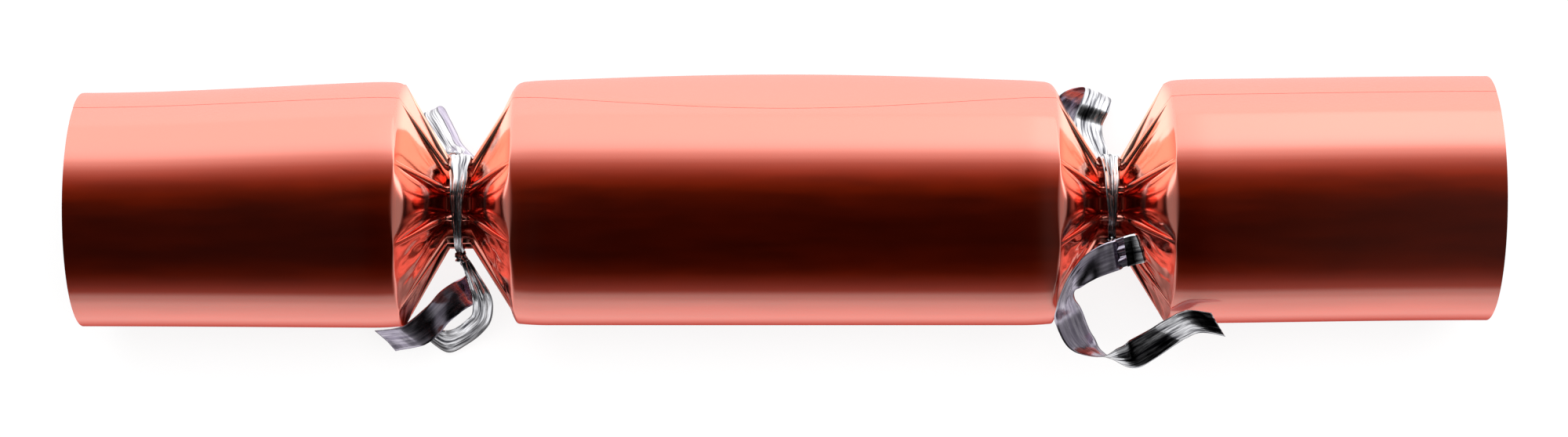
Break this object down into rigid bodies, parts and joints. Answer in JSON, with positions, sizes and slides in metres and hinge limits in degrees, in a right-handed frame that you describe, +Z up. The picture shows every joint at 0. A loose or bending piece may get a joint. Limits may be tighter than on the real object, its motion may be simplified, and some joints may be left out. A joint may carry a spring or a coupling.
{
  "type": "christmas cracker",
  "caption": "Foil-board party cracker: round barrel, folded necks tied with curled ribbon, and end tubes that pull away with the snap; crown, motto and gift inside.",
  "frame": {"origin": "on the table, under the middle of the barrel", "axes": "+X along the cracker towards the right end, +Z up from the table, +Y away across the table"},
  "size_m": [0.305, 0.0621, 0.053],
  "materials": {
    "copper_foil_board": "mirror foil laminate",
    "liner_card": "uncoated",
    "silver_ribbon": "mirror metallised film",
    "snap_card": "uncoated",
    "snap_compound": "rough",
    "sleeve_paper": "uncoated",
    "crown_tissue": "tissue",
    "motto_paper": "uncoated",
    "top_wood": "turned",
    "spindle_wood": "turned"
  },
  "bodies": {
    "barrel": {"barrel_wrapper": "copper_foil_board", "barrel_liner": "liner_card", "left_ribbon": "silver_ribbon", "right_ribbon": "silver_ribbon", "paper_crown": "crown_tissue", "crown_band": "sleeve_paper", "motto_slip": "motto_paper", "gift_top_disc": "top_wood", "gift_top_spindle": "spindle_wood"},
    "left_end": {"left_end_wrapper": "copper_foil_board", "left_end_liner": "liner_card", "left_snap_strip": "snap_card", "left_snap_charge": "snap_compound", "snap_sleeve": "sleeve_paper"},
    "right_end": {"right_end_wrapper": "copper_foil_board", "right_end_liner": "liner_card", "right_snap_strip": "snap_card", "right_snap_charge": "snap_compound"}
  },
  "joints": [
    {"name": "left_pull", "type": "slide", "parent": "barrel", "child": "left_end", "axis": [-1, 0, 0], "range_m": [0, 0.095]},
    {"name": "right_pull", "type": "slide", "parent": "barrel", "child": "right_end", "axis": [1, 0, 0], "range_m": [0, 0.095]}
  ]
}
